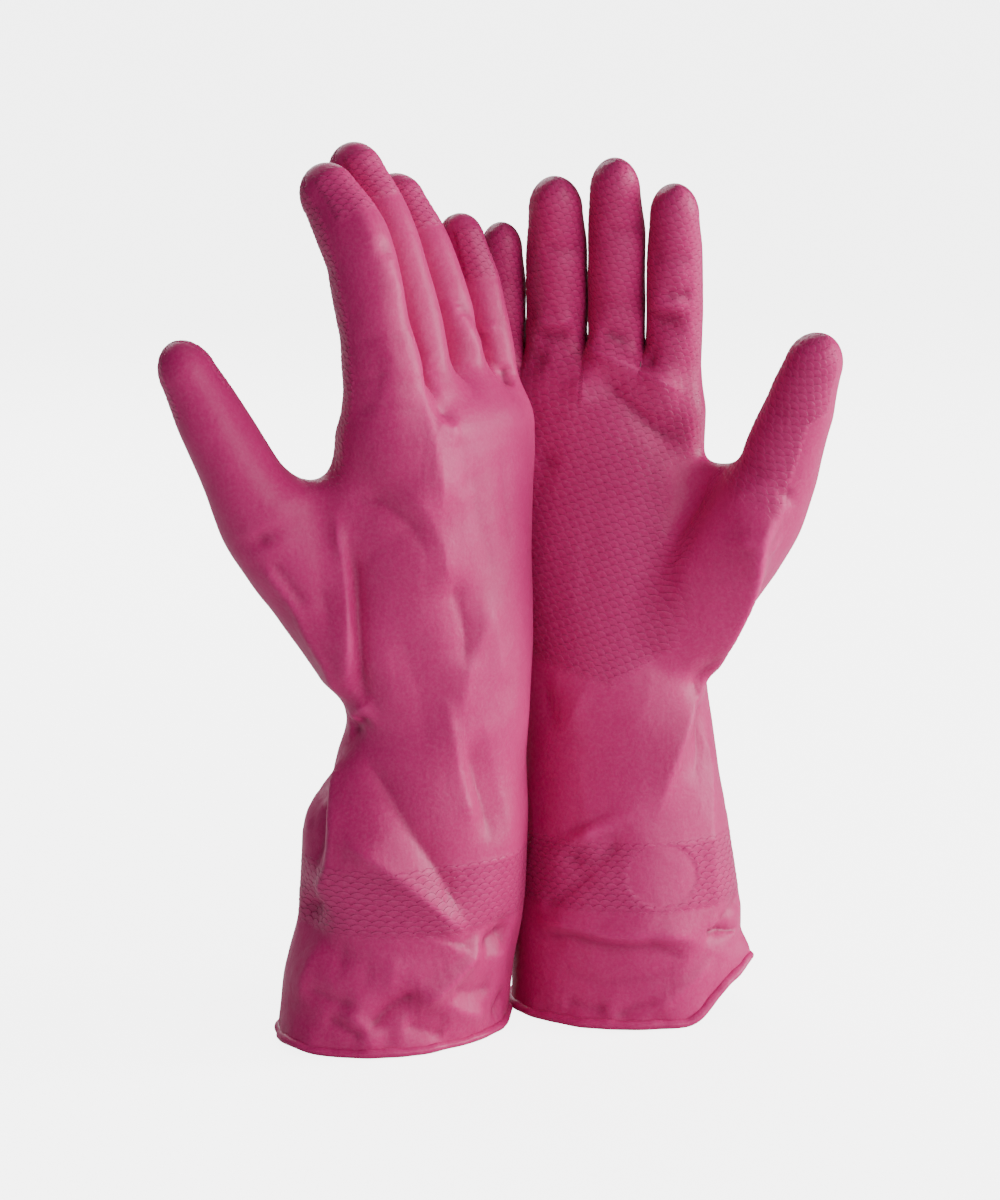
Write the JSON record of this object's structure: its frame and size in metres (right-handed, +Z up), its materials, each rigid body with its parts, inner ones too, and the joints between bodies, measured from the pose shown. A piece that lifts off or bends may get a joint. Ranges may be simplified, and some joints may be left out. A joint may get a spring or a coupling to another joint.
{
  "type": "rubber gloves",
  "caption": "Pair of pink flock-lined latex household gloves standing on their cuffs, with embossed palms, long gauntlets and rolled rims; wrists and stalls bend.",
  "frame": {"origin": "floor under the middle of the pair: the bottom centre of its bounding box at rest", "axes": "+Z up, from the cuffs to the fingertips; -Y is the front; +X runs from glove a to glove b"},
  "size_m": [0.237, 0.1068, 0.3138],
  "materials": {
    "latex_cuff": "satin latex with an embossed scale band and soft creases",
    "latex_hand": "satin latex, smooth on the back and scale-embossed on the palm",
    "latex_stall": "satin latex, scale-embossed on the gripping side",
    "latex_fold": "satin latex, creased where it bends",
    "latex_bead": "rolled satin latex edge",
    "flock": "short matt cotton flock"
  },
  "bodies": {
    "a_cuff": {"a_cuff_bead": "latex_bead", "a_gauntlet": "latex_cuff", "a_gauntlet_lining": "flock", "a_wrist_fold": "latex_fold"},
    "a_palm": {"a_hand": "latex_hand", "a_hand_lining": "flock", "a_index_knuckle_fold": "latex_fold", "a_middle_knuckle_fold": "latex_fold", "a_ring_knuckle_fold": "latex_fold", "a_little_knuckle_fold": "latex_fold", "a_thumb_knuckle_fold": "latex_fold"},
    "a_index_low": {"a_index_base": "latex_stall", "a_index_joint_fold": "latex_fold"},
    "a_index_end": {"a_index_tip": "latex_stall"},
    "a_middle_low": {"a_middle_base": "latex_stall", "a_middle_joint_fold": "latex_fold"},
    "a_middle_end": {"a_middle_tip": "latex_stall"},
    "a_ring_low": {"a_ring_base": "latex_stall", "a_ring_joint_fold": "latex_fold"},
    "a_ring_end": {"a_ring_tip": "latex_stall"},
    "a_little_low": {"a_little_base": "latex_stall", "a_little_joint_fold": "latex_fold"},
    "a_little_end": {"a_little_tip": "latex_stall"},
    "a_thumb_low": {"a_thumb_base": "latex_stall", "a_thumb_joint_fold": "latex_fold"},
    "a_thumb_end": {"a_thumb_tip": "latex_stall"},
    "b_cuff": {"b_cuff_bead": "latex_bead", "b_gauntlet": "latex_cuff", "b_gauntlet_lining": "flock", "b_wrist_fold": "latex_fold"},
    "b_palm": {"b_hand": "latex_hand", "b_hand_lining": "flock", "b_index_knuckle_fold": "latex_fold", "b_middle_knuckle_fold": "latex_fold", "b_ring_knuckle_fold": "latex_fold", "b_little_knuckle_fold": "latex_fold", "b_thumb_knuckle_fold": "latex_fold"},
    "b_index_low": {"b_index_base": "latex_stall", "b_index_joint_fold": "latex_fold"},
    "b_index_end": {"b_index_tip": "latex_stall"},
    "b_middle_low": {"b_middle_base": "latex_stall", "b_middle_joint_fold": "latex_fold"},
    "b_middle_end": {"b_middle_tip": "latex_stall"},
    "b_ring_low": {"b_ring_base": "latex_stall", "b_ring_joint_fold": "latex_fold"},
    "b_ring_end": {"b_ring_tip": "latex_stall"},
    "b_little_low": {"b_little_base": "latex_stall", "b_little_joint_fold": "latex_fold"},
    "b_little_end": {"b_little_tip": "latex_stall"},
    "b_thumb_low": {"b_thumb_base": "latex_stall", "b_thumb_joint_fold": "latex_fold"},
    "b_thumb_end": {"b_thumb_tip": "latex_stall"}
  },
  "joints": [
    {"name": "a_wrist", "type": "hinge", "parent": "a_cuff", "child": "a_palm", "pos_m": [-0.02217, -0.01214, 0.119], "axis": [-0.6432, -0.7656, -0.0126], "range_deg": [-35, 40], "stiffness_Nm_per_rad": 0.8, "deforming": ["a_wrist_fold"]},
    {"name": "a_index_knuckle", "type": "hinge", "parent": "a_palm", "child": "a_index_low", "pos_m": [-0.04388, -0.03921, 0.25079], "axis": [-0.6428, -0.766, 0], "range_deg": [-15, 65], "stiffness_Nm_per_rad": 0.03, "deforming": ["a_index_knuckle_fold"]},
    {"name": "a_index_joint", "type": "hinge", "parent": "a_index_low", "child": "a_index_end", "pos_m": [-0.04849, -0.03533, 0.27604], "axis": [-0.6428, -0.766, 0], "range_deg": [-8, 70], "stiffness_Nm_per_rad": 0.02, "deforming": ["a_index_joint_fold"]},
    {"name": "a_middle_knuckle", "type": "hinge", "parent": "a_palm", "child": "a_middle_low", "pos_m": [-0.03273, -0.02115, 0.25208], "axis": [-0.6428, -0.766, 0], "range_deg": [-15, 65], "stiffness_Nm_per_rad": 0.03, "deforming": ["a_middle_knuckle_fold"]},
    {"name": "a_middle_joint", "type": "hinge", "parent": "a_middle_low", "child": "a_middle_end", "pos_m": [-0.04046, -0.01466, 0.27924], "axis": [-0.6428, -0.766, 0], "range_deg": [-8, 70], "stiffness_Nm_per_rad": 0.02, "deforming": ["a_middle_joint_fold"]},
    {"name": "a_ring_knuckle", "type": "hinge", "parent": "a_palm", "child": "a_ring_low", "pos_m": [-0.02058, -0.00458, 0.2498], "axis": [-0.6428, -0.766, 0], "range_deg": [-15, 65], "stiffness_Nm_per_rad": 0.03, "deforming": ["a_ring_knuckle_fold"]},
    {"name": "a_ring_joint", "type": "hinge", "parent": "a_ring_low", "child": "a_ring_end", "pos_m": [-0.02806, 0.00169, 0.27281], "axis": [-0.6428, -0.766, 0], "range_deg": [-8, 70], "stiffness_Nm_per_rad": 0.02, "deforming": ["a_ring_joint_fold"]},
    {"name": "a_little_knuckle", "type": "hinge", "parent": "a_palm", "child": "a_little_low", "pos_m": [-0.00696, 0.00879, 0.24343], "axis": [-0.6428, -0.766, 0], "range_deg": [-15, 65], "stiffness_Nm_per_rad": 0.03, "deforming": ["a_little_knuckle_fold"]},
    {"name": "a_little_joint", "type": "hinge", "parent": "a_little_low", "child": "a_little_end", "pos_m": [-0.01094, 0.01213, 0.26274], "axis": [-0.6428, -0.766, 0], "range_deg": [-8, 70], "stiffness_Nm_per_rad": 0.02, "deforming": ["a_little_joint_fold"]},
    {"name": "a_thumb_knuckle", "type": "hinge", "parent": "a_palm", "child": "a_thumb_low", "pos_m": [-0.08914, -0.03522, 0.20085], "axis": [-0.8738, -0.1837, -0.4503], "range_deg": [-15, 40], "stiffness_Nm_per_rad": 0.03, "deforming": ["a_thumb_knuckle_fold"]},
    {"name": "a_thumb_joint", "type": "hinge", "parent": "a_thumb_low", "child": "a_thumb_end", "pos_m": [-0.0997, -0.03679, 0.22234], "axis": [-0.8737, -0.1926, -0.4467], "range_deg": [-10, 60], "stiffness_Nm_per_rad": 0.02, "deforming": ["a_thumb_joint_fold"]},
    {"name": "b_wrist", "type": "hinge", "parent": "b_cuff", "child": "b_palm", "pos_m": [0.03802, 0.02263, 0.119], "axis": [0.9797, -0.1679, 0.1098], "range_deg": [-35, 0], "stiffness_Nm_per_rad": 0.8, "deforming": ["b_wrist_fold"]},
    {"name": "b_index_knuckle", "type": "hinge", "parent": "b_palm", "child": "b_index_low", "pos_m": [0.06039, 0.02518, 0.25093], "axis": [0.9846, -0.1736, -0.0209], "range_deg": [-15, 65], "stiffness_Nm_per_rad": 0.03, "deforming": ["b_index_knuckle_fold"]},
    {"name": "b_index_joint", "type": "hinge", "parent": "b_index_low", "child": "b_index_end", "pos_m": [0.06019, 0.02098, 0.27658], "axis": [0.9846, -0.1736, -0.0209], "range_deg": [-8, 70], "stiffness_Nm_per_rad": 0.02, "deforming": ["b_index_joint_fold"]},
    {"name": "b_middle_knuckle", "type": "hinge", "parent": "b_palm", "child": "b_middle_low", "pos_m": [0.04005, 0.02895, 0.25294], "axis": [0.9847, -0.1736, -0.014], "range_deg": [-15, 65], "stiffness_Nm_per_rad": 0.03, "deforming": ["b_middle_knuckle_fold"]},
    {"name": "b_middle_joint", "type": "hinge", "parent": "b_middle_low", "child": "b_middle_end", "pos_m": [0.03964, 0.02436, 0.28155], "axis": [0.9847, -0.1736, -0.014], "range_deg": [-8, 70], "stiffness_Nm_per_rad": 0.02, "deforming": ["b_middle_joint_fold"]},
    {"name": "b_ring_knuckle", "type": "hinge", "parent": "b_palm", "child": "b_ring_low", "pos_m": [0.01896, 0.03304, 0.25096], "axis": [0.9847, -0.1736, -0.014], "range_deg": [-15, 65], "stiffness_Nm_per_rad": 0.03, "deforming": ["b_ring_knuckle_fold"]},
    {"name": "b_ring_joint", "type": "hinge", "parent": "b_ring_low", "child": "b_ring_end", "pos_m": [0.01865, 0.02926, 0.27566], "axis": [0.9847, -0.1736, -0.014], "range_deg": [-8, 70], "stiffness_Nm_per_rad": 0.02, "deforming": ["b_ring_joint_fold"]},
    {"name": "b_little_knuckle", "type": "hinge", "parent": "b_palm", "child": "b_little_low", "pos_m": [-0.00069, 0.03764, 0.24399], "axis": [0.9847, -0.1736, -0.0175], "range_deg": [-15, 10], "stiffness_Nm_per_rad": 0.03, "deforming": ["b_little_knuckle_fold"]},
    {"name": "b_little_joint", "type": "hinge", "parent": "b_little_low", "child": "b_little_end", "pos_m": [-0.00073, 0.03539, 0.26385], "axis": [0.9847, -0.1736, -0.0175], "range_deg": [-8, 50], "stiffness_Nm_per_rad": 0.02, "deforming": ["b_little_joint_fold"]},
    {"name": "b_thumb_knuckle", "type": "hinge", "parent": "b_palm", "child": "b_thumb_low", "pos_m": [0.09659, -0.00174, 0.20108], "axis": [0.6328, -0.6883, -0.3547], "range_deg": [-15, 40], "stiffness_Nm_per_rad": 0.03, "deforming": ["b_thumb_knuckle_fold"]},
    {"name": "b_thumb_joint", "type": "hinge", "parent": "b_thumb_low", "child": "b_thumb_end", "pos_m": [0.1034, -0.00683, 0.22352], "axis": [0.6358, -0.6857, -0.3544], "range_deg": [-10, 60], "stiffness_Nm_per_rad": 0.02, "deforming": ["b_thumb_joint_fold"]},
    {"name": "b_set_apart", "type": "slide", "parent": "a_cuff", "child": "b_cuff", "axis": [1, 0, 0], "range_m": [0, 0.15]}
  ]
}
